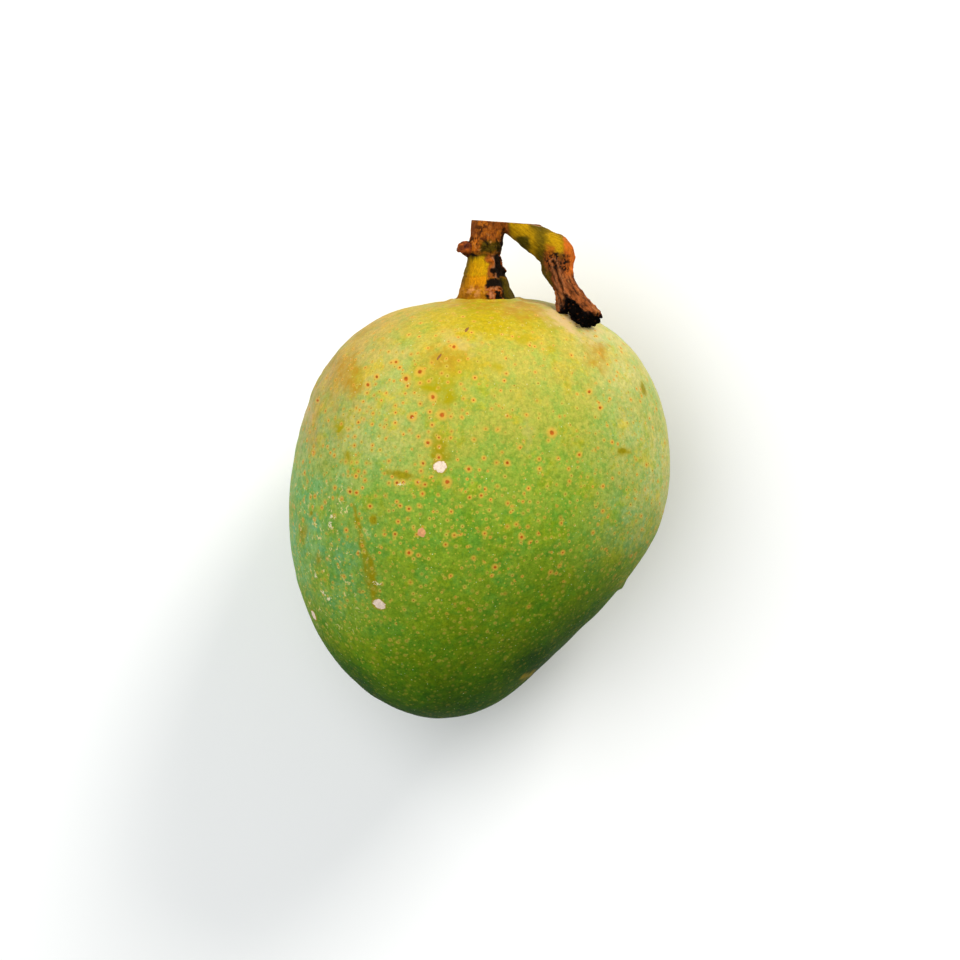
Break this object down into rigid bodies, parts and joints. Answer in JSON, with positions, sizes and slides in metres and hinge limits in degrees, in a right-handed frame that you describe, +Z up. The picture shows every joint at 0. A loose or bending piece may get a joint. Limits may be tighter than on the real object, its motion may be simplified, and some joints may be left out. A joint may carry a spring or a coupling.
{
  "type": "mango",
  "caption": "Whole mango as picked, lying on its cheek: a plump lopsided oval with a faint beak, a short woody stalk and a bent, broken side twig.",
  "frame": {"origin": "on the surface that the fruit lies on, below the middle of the whole", "axes": "+Y from the fruit's tip to its stalk, +Z up through the front cheek, +X to the beak side"},
  "size_m": [0.0953, 0.1247, 0.0802],
  "materials": {
    "skin": "satin",
    "stalk_bark": "matte",
    "twig_bark": "matte"
  },
  "bodies": {
    "root": {"fruit": "skin", "stalk": "stalk_bark", "side_twig": "twig_bark"}
  },
  "joints": []
}
